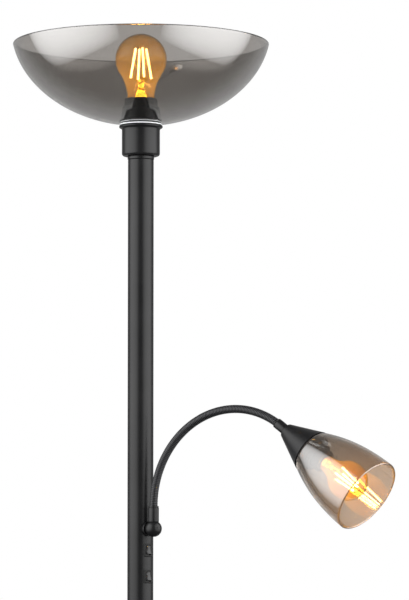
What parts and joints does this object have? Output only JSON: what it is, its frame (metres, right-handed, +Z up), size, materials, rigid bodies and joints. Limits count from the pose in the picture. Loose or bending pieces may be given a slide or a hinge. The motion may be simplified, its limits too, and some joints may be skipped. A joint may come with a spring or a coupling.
{
  "type": "torchiere floor lamp",
  "caption": "Torchiere floor lamp: round weighted foot, slim pole, upward smoked-glass bowl, and a gooseneck reading arm with a small glass shade and two rocker switches.",
  "frame": {"origin": "centre of the foot's underside, on the floor", "axes": "+Z up along the pole, +X towards the side of the pole that carries the arm and the switches"},
  "size_m": [0.4731, 0.2998, 1.811],
  "materials": {
    "powder_coat": "satin black powder coat",
    "black_plastic": "moulded black, fine satin",
    "smoked_glass": "smoked, half-mirrored, polished",
    "amber_glass": "amber tinted, polished",
    "clear_glass": "clear, polished",
    "filament": "phosphor coated LED sticks, lit",
    "nickel_cap": "nickel plated",
    "zinc_steel": "zinc plated",
    "cast_iron": "rough casting, painted",
    "felt": "pressed black felt",
    "rubber": "matt",
    "silicone": "translucent, smooth",
    "lead_sheath": "extruded PVC"
  },
  "bodies": {
    "stand": {"base_cover": "powder_coat", "pole_foot_collar": "powder_coat", "pole_bottom": "powder_coat", "pole_middle": "powder_coat", "pole_top": "powder_coat", "pole_top_collar": "powder_coat", "socket_cup": "powder_coat", "bowl_holder_cone": "powder_coat", "swivel_base": "powder_coat", "main_lampholder": "black_plastic", "ring_nut": "black_plastic", "switch_lower_body": "black_plastic", "switch_upper_body": "black_plastic", "glass_bowl": "smoked_glass", "bulb_glass": "amber_glass", "bulb_neck": "clear_glass", "bulb_stem": "clear_glass", "bulb_filaments": "filament", "bulb_cap": "nickel_cap", "lampholder_contact": "nickel_cap", "base_stud": "zinc_steel", "base_washer": "zinc_steel", "base_nut": "zinc_steel", "pole_foot_insert": "zinc_steel", "pole_coupler_lower": "zinc_steel", "pole_coupler_upper": "zinc_steel", "pole_top_insert": "zinc_steel", "head_nipple": "zinc_steel", "nipple_nut": "zinc_steel", "swivel_stud": "zinc_steel", "swivel_nut": "zinc_steel", "base_weight": "cast_iron", "base_pad": "felt", "cable_grommet": "rubber", "bowl_washer": "rubber", "bowl_gasket": "silicone", "pole_lead_lower": "lead_sheath", "pole_lead_upper": "lead_sheath"},
    "arm_foot": {"swivel_ball": "powder_coat", "lower_ferrule": "powder_coat", "neck_1": "powder_coat"},
    "neck_link_2": {"neck_2": "powder_coat"},
    "neck_link_3": {"neck_3": "powder_coat"},
    "neck_link_4": {"neck_4": "powder_coat"},
    "neck_link_5": {"neck_5": "powder_coat"},
    "reading_head": {"neck_6": "powder_coat", "upper_ferrule": "powder_coat", "head_cone": "powder_coat", "spot_lampholder": "black_plastic", "spot_washer": "rubber", "spot_ring_nut": "black_plastic", "spot_shade": "smoked_glass", "spot_bulb_cap": "nickel_cap", "spot_bulb_glass": "amber_glass", "spot_bulb_stem": "clear_glass", "spot_bulb_filament": "filament"},
    "rocker_lower": {"switch_lower_rocker": "black_plastic"},
    "rocker_upper": {"switch_upper_rocker": "black_plastic"}
  },
  "joints": [
    {"name": "arm_swivel", "type": "hinge", "parent": "stand", "child": "arm_foot", "pos_m": [0.0265, 0, 1.232], "axis": [1, 0, 0], "range_deg": [-120, 120]},
    {"name": "neck_bend_lower", "type": "hinge", "parent": "arm_foot", "child": "neck_link_2", "pos_m": [0.03288, 0.00245, 1.29582], "axis": [-0.3584, 0.9336, 0], "range_deg": [-28, 20]},
    {"name": "neck_side_lower", "type": "hinge", "parent": "neck_link_2", "child": "neck_link_3", "pos_m": [0.05123, 0.00949, 1.32885], "axis": [0.7046, 0.2705, -0.6561], "range_deg": [-25, 25]},
    {"name": "neck_bend_middle", "type": "hinge", "parent": "neck_link_3", "child": "neck_link_4", "pos_m": [0.07922, 0.02024, 1.35291], "axis": [-0.3584, 0.9336, 0], "range_deg": [-28, 20]},
    {"name": "neck_side_upper", "type": "hinge", "parent": "neck_link_4", "child": "neck_link_5", "pos_m": [0.11329, 0.03332, 1.36495], "axis": [0.1299, 0.0499, -0.9903], "range_deg": [-25, 25]},
    {"name": "neck_bend_upper", "type": "hinge", "parent": "neck_link_5", "child": "reading_head", "pos_m": [0.14915, 0.04708, 1.36344], "axis": [-0.3584, 0.9336, 0], "range_deg": [-28, 20]},
    {"name": "lower_rocker_tip", "type": "hinge", "parent": "stand", "child": "rocker_lower", "pos_m": [0.0143, 0, 1.177], "axis": [0, 1, 0], "range_deg": [0, 20]},
    {"name": "upper_rocker_tip", "type": "hinge", "parent": "stand", "child": "rocker_upper", "pos_m": [0.0143, 0, 1.2074], "axis": [0, 1, 0], "range_deg": [0, 20]}
  ]
}
